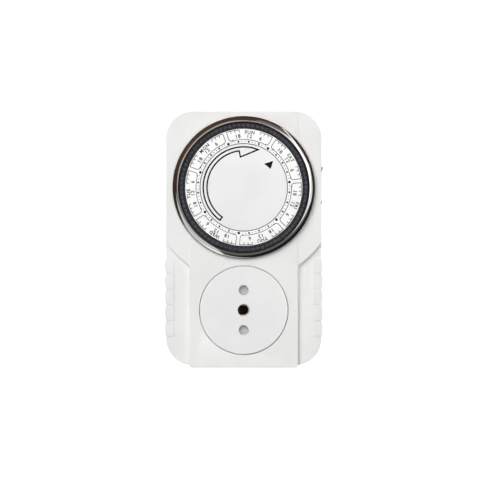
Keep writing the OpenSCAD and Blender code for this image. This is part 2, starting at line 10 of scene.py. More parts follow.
import bmesh
import bpy
import numpy as np
from mathutils import Euler, Matrix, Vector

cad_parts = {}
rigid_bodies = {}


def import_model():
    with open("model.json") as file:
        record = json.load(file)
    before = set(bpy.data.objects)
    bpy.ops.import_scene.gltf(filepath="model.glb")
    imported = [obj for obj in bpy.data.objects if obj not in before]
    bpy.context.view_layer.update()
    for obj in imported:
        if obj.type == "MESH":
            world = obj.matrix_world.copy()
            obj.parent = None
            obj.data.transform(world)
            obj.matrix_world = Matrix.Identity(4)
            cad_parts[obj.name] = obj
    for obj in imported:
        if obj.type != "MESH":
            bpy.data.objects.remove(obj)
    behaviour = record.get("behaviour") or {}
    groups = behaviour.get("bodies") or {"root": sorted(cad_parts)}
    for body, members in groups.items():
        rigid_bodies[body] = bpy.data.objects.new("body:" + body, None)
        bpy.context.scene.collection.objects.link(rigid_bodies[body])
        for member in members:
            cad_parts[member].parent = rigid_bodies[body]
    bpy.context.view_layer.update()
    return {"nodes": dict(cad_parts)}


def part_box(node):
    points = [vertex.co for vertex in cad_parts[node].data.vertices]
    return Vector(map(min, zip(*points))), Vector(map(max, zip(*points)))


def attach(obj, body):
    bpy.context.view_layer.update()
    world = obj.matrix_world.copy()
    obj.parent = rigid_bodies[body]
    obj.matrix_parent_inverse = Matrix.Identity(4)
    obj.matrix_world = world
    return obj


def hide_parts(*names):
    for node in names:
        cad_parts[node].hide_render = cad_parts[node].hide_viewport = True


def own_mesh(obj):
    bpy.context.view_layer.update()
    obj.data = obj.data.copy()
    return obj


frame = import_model()
MM = 0.001

# %% [markdown]
# ## Places taken from the frame
# The glossy ring and the round socket plate give the two centres that the whole face is laid out on.
# A point on the front is named by its distance right of the axis, its height above it and how far
# it stands out towards the viewer, because that is how a drawing of the face would give it.

# %% Centres and levels, in mm
ring_low, ring_high = [np.array(c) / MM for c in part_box("bezel_ring")]
plate_low = np.array(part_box("socket_plate")[0]) / MM
scale_low, scale_high = [np.array(c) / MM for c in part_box("scale_ring")]
cap_low, cap_high = [np.array(c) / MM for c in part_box("centre_cap")]
DIAL_UP = (ring_low[2] + ring_high[2]) / 2
RING_R = (ring_high[0] - ring_low[0]) / 2
RING_OUT = -ring_low[1]
FACE_OUT = -plate_low[1]
SCALE_R = (scale_high[0] - scale_low[0]) / 2
SCALE_OUT = -scale_low[1]
CAP_R = (cap_high[0] - cap_low[0]) / 2
CAP_OUT = -cap_low[1]
print("dial centre", round(DIAL_UP, 2), "ring radius", round(RING_R, 2), "face", round(FACE_OUT, 2))


def front(right, up, out):
    """Millimetres on the front to metres in the row frame: right is X, up is Z, out is minus Y."""
    right, up, out = np.broadcast_arrays(right, up, out)
    return np.stack([right, -out, up], axis=-1) * MM


def clock(radius, degrees):
    """Right and up of a point at a radius and a clock angle: r sin a, r cos a."""
    turn = np.radians(degrees)
    return radius * np.sin(turn), radius * np.cos(turn)


# %% [markdown]
# ## Camera
# The timer is seen almost square on, a little below the dial and above the socket, from about
# a metre and a half. A long lens keeps the case's sides hidden, as a catalogue view does.

# %% Camera
VIEW_FIELD = 228.5      # width of the view at the front face
VIEW_FAR = 1500.0       # from the lens to the front face
VIEW_AT = (-1.8, 33.45)  # where the lens axis meets the face, from the socket axis
SENSOR = 36.0

camera = bpy.data.objects.new("camera", bpy.data.cameras.new("camera"))
camera.data.sensor_width = SENSOR
camera.data.lens = SENSOR * VIEW_FAR / VIEW_FIELD
camera.data.clip_start = 0.01
camera.location = front(VIEW_AT[0], VIEW_AT[1], FACE_OUT + VIEW_FAR)
camera.rotation_euler = (math.radians(90), 0, 0)
bpy.context.collection.objects.link(camera)
bpy.context.scene.camera = camera
print("lens", round(camera.data.lens, 1), "mm")

# %% [markdown]
# ## Mesh tools
# Every new surface is a grid of points worked out in one go with numpy, or a flat shape made of
# ribbons. The helpers below turn such arrays into meshes: a profile carried round an axis gives a
# ring or a pin with few numbers, where a hand-edited mesh would need every vertex. Closed ones are
# checked to face outwards by the sign of their volume.


# %% Arrays to meshes
def signed_volume(mesh):
    """Six times the volume from the origin to each triangle, summed; below 0 is inside out."""
    mesh.calc_loop_triangles()
    spots = np.empty(len(mesh.vertices) * 3)
    mesh.vertices.foreach_get("co", spots)
    corners = np.empty(len(mesh.loop_triangles) * 3, int)
    mesh.loop_triangles.foreach_get("vertices", corners)
    a, b, c = spots.reshape(-1, 3)[corners.reshape(-1, 3)].transpose(1, 0, 2)
    return float(np.einsum("ij,ij->i", a, np.cross(b, c)).sum())


def piece(name, points, faces, body, material, closed=True, smooth=40):
    """A new piece from points in metres and faces, riding on a CAD body."""
    mesh = bpy.data.meshes.new(name)
    mesh.from_pydata(np.asarray(points).tolist(), [], [list(map(int, f)) for f in faces])
    mesh.update()
    if closed and signed_volume(mesh) < 0:
        mesh.flip_normals()
    mesh.polygons.foreach_set("use_smooth", np.ones(len(mesh.polygons), bool))
    mesh.set_sharp_from_angle(angle=math.radians(smooth))
    mesh.materials.append(material)
    made = bpy.data.objects.new(name, mesh)
    bpy.context.collection.objects.link(made)
    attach(made, body)
    return made


def grid_faces(rows, columns, wrap_rows=False, wrap_columns=False):
    """Quads (i, j), (i+1, j), (i+1, j+1), (i, j+1) over a grid, joined round where it wraps."""
    i = np.arange(rows if wrap_rows else rows - 1)[:, None]
    j = np.arange(columns if wrap_columns else columns - 1)[None, :]
    i1, j1 = (i + 1) % rows, (j + 1) % columns
    quads = [i * columns + j, i1 * columns + j, i1 * columns + j1, i * columns + j1]
    return np.stack(np.broadcast_arrays(*quads), axis=-1).reshape(-1, 4)


def turned(name, profile, right, up, body, material, steps=128):
    """A closed profile of (radius, out) carried round an axis that points at the viewer."""
    profile = np.asarray(profile, float)
    angle = np.arange(steps) * 360 / steps
    x, z = clock(profile[None, :, 0], angle[:, None])
    points = front(right + x, up + z, profile[None, :, 1]).reshape(-1, 3)
    faces = grid_faces(steps, len(profile), True, True)
    return piece(name, points, faces, body, material)


def spindle(name, profile, right, up, body, material, steps=48):
    """An open profile of (radius, out) carried round, its two ends closed by fans."""
    profile = np.asarray(profile, float)
    angle = np.arange(steps) * 360 / steps
    x, z = clock(profile[None, :, 0], angle[:, None])
    points = front(right + x, up + z, profile[None, :, 1]).reshape(-1, 3)
    count = len(profile)
    faces = list(grid_faces(steps, count, True, False))
    faces += [np.arange(steps) * count, (np.arange(steps) * count + count - 1)[::-1]]
    return piece(name, points, faces, body, material)


print("a 4 by 3 grid has", len(grid_faces(4, 3)), "quads, and", len(grid_faces(4, 3, True)), "when closed")


# %% [markdown]
# ## Finishes
# Colours are written as the hex values a paint chart would give and turned to linear light once,
# because shaders reckon in light and not in screen values. One helper adds a node with its settings
# and its links, and each finish below is its own function, named for the real material.


# %% Colour and node helpers
def linear(colour):
    """sRGB hex to linear: c / 12.92 when dark, else ((c + 0.055) / 1.055) to the power 2.4."""
    c = np.array([int(colour[k:k + 2], 16) for k in (1, 3, 5)]) / 255
    return (*np.where(c <= 0.04045, c / 12.92, ((c + 0.055) / 1.055) ** 2.4).tolist(), 1.0)


def add(tree, kind, settings=None, **links):
    """A node of a kind, with plain settings, socket values and links from other nodes' outputs."""
    node = tree.nodes.new(kind)
    for key, value in (settings or {}).items():
        setattr(node, key, value)
    for key, value in links.items():
        socket = node.inputs[int(key[1:])] if key[0] == "_" else node.inputs[key.replace("__", " ")]
        if isinstance(value, bpy.types.NodeSocket):
            tree.links.new(value, socket)
        else:
            socket.default_value = value
    return node


def finish(name, **sockets):
    """A new material: its tree, its surface shader with constants set, and object coordinates."""
    made = bpy.data.materials.new(name)
    made.use_nodes = True
    tree = made.node_tree
    shader = tree.nodes["Principled BSDF"]
    for key, value in sockets.items():
        shader.inputs[key.replace("_", " ")].default_value = value
    made.diffuse_color = sockets.get("Base_Color", (0.8, 0.8, 0.8, 1))
    where = add(tree, "ShaderNodeTexCoord").outputs["Object"]
    return made, tree, shader, where


print("half grey #808080 is", round(linear("#808080")[0], 3), "in linear light")

# %% [markdown]
# Real plastic is never one even colour. Its shade wanders, its gloss wanders with handling, and its
# skin has a grain from the tool. Each is a noise whose size is given in millimetres, so that it can
# be held against a ruler, and every finish below is a mix of the three.


# %% Shade, gloss and grain
def mottle(tree, shader, where, dark, light, size_mm, low=0.35, high=0.65):
    """Colour between two shades by a soft noise whose patches are size_mm across."""
    noise = add(tree, "ShaderNodeTexNoise", Vector=where, Scale=1 / (size_mm * MM), Detail=3.0)
    ramp = add(tree, "ShaderNodeValToRGB", Fac=noise.outputs["Fac"])
    ramp.color_ramp.elements[0].position = low
    ramp.color_ramp.elements[1].position = high
    ramp.color_ramp.elements[0].color = linear(dark)
    ramp.color_ramp.elements[1].color = linear(light)
    tree.links.new(ramp.outputs["Color"], shader.inputs["Base Color"])


def gloss_between(tree, shader, where, low, high, size_mm):
    """Roughness that wanders between two values in patches of size_mm, as handling leaves it."""
    noise = add(tree, "ShaderNodeTexNoise", Vector=where, Scale=1 / (size_mm * MM), Detail=2.0)
    rough = add(tree, "ShaderNodeMapRange", Value=noise.outputs["Fac"])
    rough.inputs["To Min"].default_value = low
    rough.inputs["To Max"].default_value = high
    tree.links.new(rough.outputs["Result"], shader.inputs["Roughness"])


def grain(tree, shader, where, size_mm, height_mm):
    """A fine bump from noise of a given grain size and height."""
    noise = add(tree, "ShaderNodeTexNoise", Vector=where, Scale=1 / (size_mm * MM), Detail=2.0)
    bump = add(tree, "ShaderNodeBump", Height=noise.outputs["Fac"], Strength=1.0,
               Distance=height_mm * MM)
    tree.links.new(bump.outputs["Normal"], shader.inputs["Normal"])


print("a patch of 1 mm needs a noise scale of", round(1 / MM))


# %% [markdown]
# The case is injection-moulded ABS: off-white, a soft sheen and no visible texture beyond the very
# fine spark-erosion grain of the tool. The grain's real pitch is near 0.05 mm, too fine to show, so
# it is drawn at 0.35 mm and very shallow. The socket plate is urea, which is harder and a little
# glossier, so the two whites part where they meet.


# %% Case and socket plate plastics
def moulded_abs():
    """Injection-moulded ABS of the front: off-white, with a soft sheen."""
    made, tree, shader, where = finish("moulded_white_abs", IOR=1.53)
    mottle(tree, shader, where, "#E4E4E2", "#E9E9E8", 22)
    gloss_between(tree, shader, where, 0.36, 0.46, 9)
    grain(tree, shader, where, 0.35, 0.006)
    return made


def moulded_back_abs():
    """The same ABS on the back, a little greyer and duller from its coarser tool."""
    made, tree, shader, where = finish("moulded_back_abs", IOR=1.53)
    mottle(tree, shader, where, "#DFDFDD", "#E6E6E4", 22)
    gloss_between(tree, shader, where, 0.4, 0.5, 9)
    grain(tree, shader, where, 0.35, 0.008)
    return made


def moulded_urea():
    """Pressed urea of the socket plate: a cool white with a tighter highlight than ABS."""
    made, tree, shader, where = finish("moulded_white_urea", IOR=1.6)
    mottle(tree, shader, where, "#E3E4E3", "#E8E8E7", 16)
    gloss_between(tree, shader, where, 0.3, 0.38, 7)
    grain(tree, shader, where, 0.4, 0.004)
    return made


WHITE_ABS = moulded_abs()
BACK_ABS = moulded_back_abs()
UREA = moulded_urea()
print("case finishes:", WHITE_ABS.name, BACK_ABS.name, UREA.name)

# %% [markdown]
# The ring is polished acrylic dyed a smoky brown. Its colour is graded by height as painted light
# and shade: a warm brown at the top as painted light, and nearly black in the lower half as painted
# shade. The grade sits in the colour under a clear coat, so it stays the same under any lamp.


# %% Ring plastic, with painted light and shade
# These two heights set the painted shade and painted light on the ring: darkest below, warmest above.
PAINTED_SHADE_UNDER = 20.0   # from this far below the dial's centre the acrylic is darkest
PAINTED_LIGHT_OVER = 34.0    # and at this height above it, warmest
NOISE_SHARE = 0.3   # what the noise adds to the graded height


def smoked_acrylic_painted_light():
    """Polished acrylic under a clear, very glossy skin, graded by height: painted shade below, painted
    light above.
    """
    made, tree, shader, where = finish("smoked_brown_acrylic_painted_light", IOR=1.6, Coat_Weight=1.0,
                                       Coat_Roughness=0.04, Coat_IOR=1.9)
    gloss_between(tree, shader, where, 0.08, 0.16, 6)
    noise = add(tree, "ShaderNodeTexNoise", Vector=where, Scale=1 / (14 * MM), Detail=3.0)
    split = add(tree, "ShaderNodeSeparateXYZ", Vector=where)
    # Height up the ring sets the painted light and shade: low is painted shade, high is painted light.
    depth = add(tree, "ShaderNodeMapRange", Value=split.outputs["Z"])
    depth.inputs["From Min"].default_value = (DIAL_UP - PAINTED_SHADE_UNDER) * MM
    depth.inputs["From Max"].default_value = (DIAL_UP + PAINTED_LIGHT_OVER) * MM
    shade = add(tree, "ShaderNodeMath", {"operation": "MULTIPLY_ADD"}, _0=noise.outputs["Fac"],
                _1=NOISE_SHARE, _2=depth.outputs["Result"])
    ramp = add(tree, "ShaderNodeValToRGB", Fac=shade.outputs["Value"])
    # The dark end of the ramp is painted shade, the warm brown end is painted light.
    ramp.color_ramp.elements[0].position = 0.1
    ramp.color_ramp.elements[1].position = (1 + NOISE_SHARE / 2) / (1 + NOISE_SHARE)
    ramp.color_ramp.elements[0].color = linear("#120C09")
    ramp.color_ramp.elements[1].color = linear("#4A3526")
    tree.links.new(ramp.outputs["Color"], shader.inputs["Base Color"])
    return made


ACRYLIC = smoked_acrylic_painted_light()
print("ring finish:", ACRYLIC.name)

# %% [markdown]
# Tappets and wheel are black acetal with the dull, slightly greasy look of a sliding part, and the
# scale and cap are white acetal, duller than the case. Pad-printing ink dries matt. A lower specular
# level keeps the lights from greying these blacks, which a darker colour alone would not do.


# %% Acetal and ink
def black_acetal(name, dark, light):
    """Dyed acetal of sliding parts: dull and slightly greasy, with little shine straight on."""
    made, tree, shader, where = finish(name, IOR=1.48, Specular_IOR_Level=0.3)
    mottle(tree, shader, where, dark, light, 3)
    gloss_between(tree, shader, where, 0.38, 0.55, 2)
    grain(tree, shader, where, 0.3, 0.01)
    return made


def white_acetal():
    """Natural acetal of the scale ring: the whitest part, and duller than the case."""
    made, tree, shader, where = finish("white_acetal", IOR=1.48)
    mottle(tree, shader, where, "#F7F7F6", "#FCFCFB", 12)
    gloss_between(tree, shader, where, 0.45, 0.55, 5)
    grain(tree, shader, where, 0.3, 0.004)
    return made


def cap_acetal():
    """Satin acetal of the fixed cap: a shade greyer than the scale ring round it."""
    made, tree, shader, where = finish("satin_white_acetal", IOR=1.48)
    mottle(tree, shader, where, "#E9E9E9", "#EDEDED", 15)
    gloss_between(tree, shader, where, 0.4, 0.5, 6)
    grain(tree, shader, where, 0.3, 0.004)
    return made


def printing_ink(name, dark, light):
    """Pad-printing ink: matt, a little uneven in density."""
    made, tree, shader, where = finish(name, IOR=1.5, Specular_IOR_Level=0.12)
    mottle(tree, shader, where, dark, light, 0.8)
    gloss_between(tree, shader, where, 0.55, 0.7, 1)
    return made


TAPPET_ACETAL = black_acetal("slate_tappet_acetal", "#282932", "#383944")
WHEEL_ACETAL = black_acetal("black_wheel_acetal", "#101114", "#191A1E")
WHITE_ACETAL = white_acetal()
CAP_ACETAL = cap_acetal()
BLACK_INK = printing_ink("black_pad_ink", "#060607", "#0F0F11")
GREY_INK = printing_ink("grey_pad_ink", "#2B2C31", "#3A3B40")
print("dial finishes:", TAPPET_ACETAL.name, WHEEL_ACETAL.name, WHITE_ACETAL.name, CAP_ACETAL.name,
      BLACK_INK.name, GREY_INK.name)

# %% [markdown]
# Inside are nylon frames and wheels, a phenolic switch block and PVC on the leads. They are seen
# only when the case is opened, and each gets the colour and gloss that its moulding leaves, save the
# shutter, which is greyed below its white as painted shade for the shadow in the socket holes. A little
# light passes into thin plastic, so a small subsurface share takes the hardness off its edges.


# %% Inner plastics
def moulded_nylon(name, dark, light, size_mm):
    """A moulded plastic that lets a little light in: satin, with patches of size_mm."""
    made, tree, shader, where = finish(name, IOR=1.53, Subsurface_Weight=0.05)
    shader.inputs["Subsurface Radius"].default_value = (0.001, 0.0008, 0.0006)
    mottle(tree, shader, where, dark, light, size_mm)
    gloss_between(tree, shader, where, 0.38, 0.5, size_mm / 3)
    grain(tree, shader, where, 0.4, 0.01)
    return made


NYLON = moulded_nylon("natural_nylon", "#D8D0B8", "#E2DBC6", 8)
GEAR_NYLON = moulded_nylon("cream_gear_nylon", "#E0D3A8", "#EADFBC", 5)
PHENOLIC = moulded_nylon("black_phenolic", "#141416", "#1F1F22", 6)
# The shutter's grey is painted shade: it stands for the shadow that falls into the holes above it.
SHUTTER_NYLON_PAINTED_SHADE = moulded_nylon("shutter_nylon_painted_shade", "#B2B2B1", "#BEBEBD", 5)
ROCKER_PC = moulded_nylon("dark_red_brown_polycarbonate", "#2A100E", "#3C1915", 4)
LEAD_PVC = moulded_nylon("blue_lead_pvc", "#1F3F8C", "#2A4EA2", 3)
print("inner finishes:", NYLON.name, GEAR_NYLON.name, PHENOLIC.name, SHUTTER_NYLON_PAINTED_SHADE.name,
      ROCKER_PC.name, LEAD_PVC.name)

# %% [markdown]
# The metals are zinc-plated steel, nickel-plated and stamped brass, bronze springs and contacts and a
# sintered ferrite rotor. The bronze is darkened nearly to black as painted shade, so that the contacts
# deep in the socket holes read as shadow. A metal has no colour under its shine, so its colour is the
# shine itself, and the gloss tells plating from stamping. Wound wire and stacked sheets are far too fine
# to model for pieces this deep inside, so a wave in the bump stands for their lines, drawn coarse.



# %% Metals
WAVE_SCALE = 100.0                                # of the wave texture, in metres
WAVE_PITCH = 2 * math.pi / 20 / WAVE_SCALE / MM   # its bands repeat every 2 pi / 20 of a unit


def bare_metal(name, dark, light, rough_low, rough_high, size_mm):
    """A metal: colour and roughness wander a little, as stamping, drawing or plating leaves it."""
    made, tree, shader, where = finish(name, Metallic=1.0)
    mottle(tree, shader, where, dark, light, size_mm)
    gloss_between(tree, shader, where, rough_low, rough_high, size_mm / 2)
    grain(tree, shader, where, 0.25, 0.004)
    return made


def wound_copper():
    """Enamelled wire in close turns: real wire of 0.12 mm can't show, so its lines are at WAVE_PITCH."""
    made, tree, shader, where = finish("enamelled_copper_winding", Metallic=0.85, Roughness=0.32,
                                       Coat_Weight=0.4, Coat_Roughness=0.15)
    mottle(tree, shader, where, "#8C3F1C", "#B5602F", 3)
    wave = add(tree, "ShaderNodeTexWave", {"bands_direction": "Z"}, Vector=where,
               Scale=WAVE_SCALE, Distortion=0.6)
    bump = add(tree, "ShaderNodeBump", Height=wave.outputs["Fac"], Strength=0.8, Distance=0.12 * MM)
    tree.links.new(bump.outputs["Normal"], shader.inputs["Normal"])
    return made


def stacked_sheets():
    """Laminated silicon steel: dark oxide, and lines along Y far coarser than its 0.5 mm sheets."""
    made, tree, shader, where = finish("oxidised_silicon_steel", Metallic=0.9, Roughness=0.45)
    mottle(tree, shader, where, "#3A3D42", "#4C5056", 4)
    wave = add(tree, "ShaderNodeTexWave", {"bands_direction": "Y"}, Vector=where,
               Scale=WAVE_SCALE)
    bump = add(tree, "ShaderNodeBump", Height=wave.outputs["Fac"], Strength=0.6, Distance=0.08 * MM)
    tree.links.new(bump.outputs["Normal"], shader.inputs["Normal"])
    return made


STEEL = bare_metal("zinc_plated_steel", "#9FA1A4", "#B4B6B8", 0.22, 0.34, 3)
NICKEL = bare_metal("nickel_plated_brass", "#B9B5AC", "#CBC8C0", 0.14, 0.24, 5)
BRASS = bare_metal("stamped_brass", "#B08A45", "#C49E58", 0.26, 0.38, 4)
# The bronze colours are painted shade, nearly black, for the shadow deep in the socket holes.
BRONZE_PAINTED_SHADE = bare_metal("phosphor_bronze_painted_shade", "#1F1811", "#33281D", 0.34, 0.46, 4)
FERRITE = bare_metal("sintered_ferrite", "#2A2B2E", "#38393D", 0.5, 0.62, 2)
COPPER_COIL = wound_copper()
SHEETS = stacked_sheets()
print(len(bpy.data.materials), "finishes in the file, waves every", round(WAVE_PITCH, 2), "mm")

# %% [markdown]
# ## Pieces that stay as CAD
# The inner pieces came over with their exact shape, and each needs only its material. Putting it in
# the mesh's single slot keeps the piece and its body as they are, which a new mesh would not.


# %% Give the carried-over CAD pieces their finish
def paint(material, *names):
    """Puts one finish in every slot of these CAD nodes."""
    for name in names:
        node = bpy.data.objects[name]
        node.data.materials.clear()
        node.data.materials.append(material)


paint(NYLON, "chassis", "gear_bridge", "coil_bobbin", "contact_carrier", "switch_plunger")
paint(STEEL, "housing_screws", "chassis_screws", "bridge_screws", "rotor_arbor", "clutch_washer",
      "clutch_pinion", "shutter_spring")
paint(SHEETS, "stator_plates")
paint(COPPER_COIL, "coil_winding")
paint(LEAD_PVC, "motor_leads")
paint(FERRITE, "rotor_magnet")
paint(GEAR_NYLON, "first_wheel", "clutch_wheel", "drive_gear")
paint(BRONZE_PAINTED_SHADE, "contact_leaf", "live_contact", "neutral_contact", "earth_contact")
paint(PHENOLIC, "switch_block")
paint(BRASS, "fixed_contact", "live_in_strap", "live_out_strap", "neutral_strap", "earth_strap")
paint(SHUTTER_NYLON_PAINTED_SHADE, "shutter")

# %% [markdown]
# ## Case
# The two shells are moulded, so every outer edge carries a radius from the tool. The CAD meshes
# already hold the exact steps, arcs and pads, and a copy of each is merged and given a real Bevel:
# wide along the outline, narrow at the steps. A bevel weight per edge says which is which.

# %% A rounded copy of a moulded piece
BEVEL_WIDE = 1.6   # the widest radius, and every weight below is a share of it
FOOT_SHARE = 0.06  # inner corners stay nearly sharp


def rounded_copy(node, body, material, weigh, sharp=28):
    """A merged copy of a CAD node with a bevel whose weight comes from each edge's place."""
    source = bpy.data.objects[node]
    mesh = source.data.copy()
    mesh.name = node + "_moulded"
    work = bmesh.new()
    work.from_mesh(mesh)
    bmesh.ops.remove_doubles(work, verts=work.verts, dist=1e-6)
    bmesh.ops.dissolve_limit(work, angle_limit=math.radians(0.4), verts=work.verts, edges=work.edges)
    work.to_mesh(mesh)
    turn = np.array([e.calc_face_angle_signed(0) for e in work.edges])
    work.free()
    spots = np.empty(len(mesh.vertices) * 3)
    mesh.vertices.foreach_get("co", spots)
    ends = np.empty(len(mesh.edges) * 2, int)
    mesh.edges.foreach_get("vertices", ends)
    middle = spots.reshape(-1, 3)[ends.reshape(-1, 2)].mean(axis=1) / MM
    weight = np.where(np.abs(turn) > math.radians(sharp), weigh(middle), 0)
    weight = np.where(turn < 0, np.minimum(weight, FOOT_SHARE), weight)
    mesh.attributes.new("bevel_weight_edge", "FLOAT", "EDGE").data.foreach_set("value", weight)
    mesh.polygons.foreach_set("use_smooth", np.ones(len(mesh.polygons), bool))
    mesh.set_sharp_from_angle(angle=math.radians(sharp))
    mesh.materials.clear()
    mesh.materials.append(material)
    made = bpy.data.objects.new(node + "_moulded", mesh)
    bpy.context.collection.objects.link(made)
    bevel = made.modifiers.new("moulded edge", "BEVEL")
    bevel.limit_method = "WEIGHT"
    bevel.width = BEVEL_WIDE * MM
    bevel.segments = 3
    bevel.miter_outer = "MITER_ARC"
    bevel.harden_normals = True
    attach(made, body)
    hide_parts(node)
    return made


print("widest radius", BEVEL_WIDE, "mm, inner corners", round(BEVEL_WIDE * FOOT_SHARE, 2), "mm")

# %% [markdown]
# The weights follow from places on the case: the rim, the sides of the raised band, the arcs over
# the wings, the openings and the grip pads. Edges that nothing shows get none, because a bevel
# there would only cost faces.

# %% Which edges are rounded, and how much
shell_low, shell_high = [np.array(c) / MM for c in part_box("front_shell")]
back_low, back_high = [np.array(c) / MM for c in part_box("rear_shell")]
half_width = (back_high[0] - back_low[0]) / 2
part_out = -back_low[1]
BAND_HALF = 25.8          # half the width of the raised band
ARC_R = 45.3              # the arcs over the wings, about the dial's centre
ARC_END = DIAL_UP - math.sqrt(ARC_R ** 2 - BAND_HALF ** 2)
WING_OUT = 43.5           # level of the lower wings
PAD_OUT = 43.9            # level of the grip pads on them
ROOF_OUT = 43.8           # inner roof of the band, which nothing shows
PAD_WIDE = 4.3
PAD_SPAN = (-14, 26)      # from below the lowest pad to above the highest
CORNER_ZONE = 13          # how far the rounded corners reach down and up the rim
PLATE_ZONE = 23           # radius that holds the socket opening's edges
BACK_RIM_OUT = 8.0        # edges behind this level belong to the back rim and the boss


def front_edges(middle):
    """Share of the widest bevel for each edge of the front: rim, steps, creases, openings, pads."""
    x, out, up = np.abs(middle[:, 0]), -middle[:, 1], middle[:, 2]
    from_dial = np.hypot(x, up - DIAL_UP)
    on_band_side = np.abs(x - BAND_HALF) < 0.1
    rim = (x > half_width - 0.3) | (up > back_high[2] - CORNER_ZONE) | (up < back_low[2] + CORNER_ZONE)
    weight = np.where(rim & (x > BAND_HALF + 0.2) & (x < half_width + 0.05), 0.6, 0.13)
    weight = np.where(up < shell_low[2] + 0.8, 0.45, weight)
    weight = np.where(on_band_side, np.where(up < ARC_END + 0.1, 0.42, 0.22), weight)
    weight = np.where(np.abs(from_dial - ARC_R) < 0.15, 0.42, weight)
    weight = np.where(from_dial < RING_R + 1, 0.1, weight)
    weight = np.where(np.hypot(x, up) < PLATE_ZONE, 0.16, weight)
    weight = np.where((np.abs(x - half_width) < 0.05) & (np.abs(up - DIAL_UP) < 0.1), 0, weight)
    inner = (x < half_width - 0.5) & (up > shell_low[2] + 1.5) & (up < shell_high[2] - 0.5)
    hidden = inner & ((out < WING_OUT - 0.05) | (np.abs(out - ROOF_OUT) < 0.02))
    pad = (np.abs(out - PAD_OUT) < 0.03) & (x > half_width - PAD_WIDE)
    pad = pad & (up > PAD_SPAN[0]) & (up < PAD_SPAN[1])
    weight = np.where(pad, 0.24, weight)
    return np.where((out > part_out + 2) & ~hidden, weight, 0)


def back_edges(middle):
    """Half the widest bevel on the back rim and the boss, and none forward of them."""
    return np.where(-middle[:, 1] < BACK_RIM_OUT, 0.5, 0.0)


def plate_edges(middle):
    """A narrow round on the plate's front rim and its holes' mouths."""
    return np.where(-middle[:, 1] > FACE_OUT - 0.1, 0.28, 0.0)


def rocker_edges(middle):
    """The same round on every edge of the rocker."""
    return np.full(len(middle), 0.25)


moulded = [rounded_copy("front_shell", "housing", WHITE_ABS, front_edges),
           rounded_copy("rear_shell", "housing", BACK_ABS, back_edges),
           rounded_copy("socket_plate", "housing", UREA, plate_edges),
           rounded_copy("rocker_button", "rocker", ROCKER_PC, rocker_edges)]
print("rounded copies:", *[f"{copy.name} {len(copy.data.polygons)} faces" for copy in moulded])

# %% [markdown]
# ## Glossy ring
# The ring is one turned profile: a spigot that sits in the case, a short upright wall, a convex
# flank and a fine polished lip where the light draws a thin bright line.

# %% Ring profile
LIP_R = 31.3
SPIGOT_R = 32.6
SPIGOT_DEEP = 3.1
SEAT_OUT = FACE_OUT - 0.8
FLANK_FROM, FLANK_TO = 54, 4  # lean of the flank in degrees, at its foot and at the lip
tilt = np.radians(np.linspace(FLANK_FROM, FLANK_TO, 20))
FLANK_R = (RING_R - LIP_R - 0.16) / (np.sin(tilt[0]) - np.sin(tilt[-1]))
flank = np.stack([RING_R - 0.12 - FLANK_R * (np.sin(tilt[0]) - np.sin(tilt)),
                  RING_OUT - FLANK_R * (1 - np.cos(tilt))], axis=1)
flank = np.concatenate([[[RING_R, flank[0, 1] - 0.3]], flank])
lip = [[LIP_R + 0.01, RING_OUT - 0.08], [LIP_R, RING_OUT - 0.3]]
spigot = [[LIP_R, SEAT_OUT - SPIGOT_DEEP], [SPIGOT_R, SEAT_OUT - SPIGOT_DEEP], [SPIGOT_R, SEAT_OUT],
          [RING_R, SEAT_OUT]]
ring_profile = np.concatenate([spigot, flank, lip])
ring = turned("glossy_ring", ring_profile, 0, DIAL_UP, "housing", ACRYLIC, 192)
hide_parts("bezel_ring")
print("ring faces", len(ring.data.polygons))

# %% [markdown]
# ## Dial
# The program wheel and its tappets stay as CAD, because their slots and tips are the real shape.
# The white scale ring and the fixed cap are turned with a softened edge, so a fine shadow line
# parts them.

# %% Wheel, tappets, scale and cap
day_nodes = [name for name in frame["nodes"] if name.startswith("tappet")]
paint(WHEEL_ACETAL, "program_wheel")
paint(TAPPET_ACETAL, *day_nodes)


def washer_profile(inner, outer, low, high, soft):
    """A flat ring's section with both top corners rounded by a quarter circle of radius soft."""
    arc = np.radians(np.linspace(0, 90, 5))
    outside = np.stack([outer - soft + soft * np.cos(arc), high - soft + soft * np.sin(arc)], axis=1)
    inside = np.stack([inner + soft - soft * np.sin(arc), high - soft + soft * np.cos(arc)], axis=1)
    return np.concatenate([[[inner, low], [outer, low]], outside, inside])


SCALE_INNER = CAP_R + 0.2
CAP_SHOWN = CAP_R - 0.12
SCALE_THICK = 1.0
SCALE_SOFT, CAP_SOFT = 0.18, 0.15           # radii of the softened edges
BORE_R, STEM_R, STEM_DEEP, CAP_THICK = 0.6, 2.5, 7.9, 0.9
scale_profile = washer_profile(SCALE_INNER, SCALE_R, SCALE_OUT - SCALE_THICK, SCALE_OUT, SCALE_SOFT)
scale = turned("scale_ring_turned", scale_profile, 0, DIAL_UP, "dial", WHITE_ACETAL, 192)
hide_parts("scale_ring")
arc = np.radians(np.linspace(0, 90, 6))
cap_edge = np.stack([CAP_SHOWN - CAP_SOFT + CAP_SOFT * np.cos(arc),
                     CAP_OUT - CAP_SOFT + CAP_SOFT * np.sin(arc)], axis=1)
cap_stem = [[BORE_R, CAP_OUT - STEM_DEEP], [STEM_R, CAP_OUT - STEM_DEEP], [STEM_R, CAP_OUT - CAP_THICK],
            [CAP_SHOWN, CAP_OUT - CAP_THICK]]
cap_profile = np.concatenate([cap_stem, cap_edge, [[10, CAP_OUT], [BORE_R, CAP_OUT]]])
cap = spindle("fixed_cap", cap_profile, 0, DIAL_UP, "housing", CAP_ACETAL, 160)
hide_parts("centre_cap")
print(len(day_nodes), "tappet nodes; gap between cap and scale", round(SCALE_INNER - CAP_SHOWN, 2), "mm")

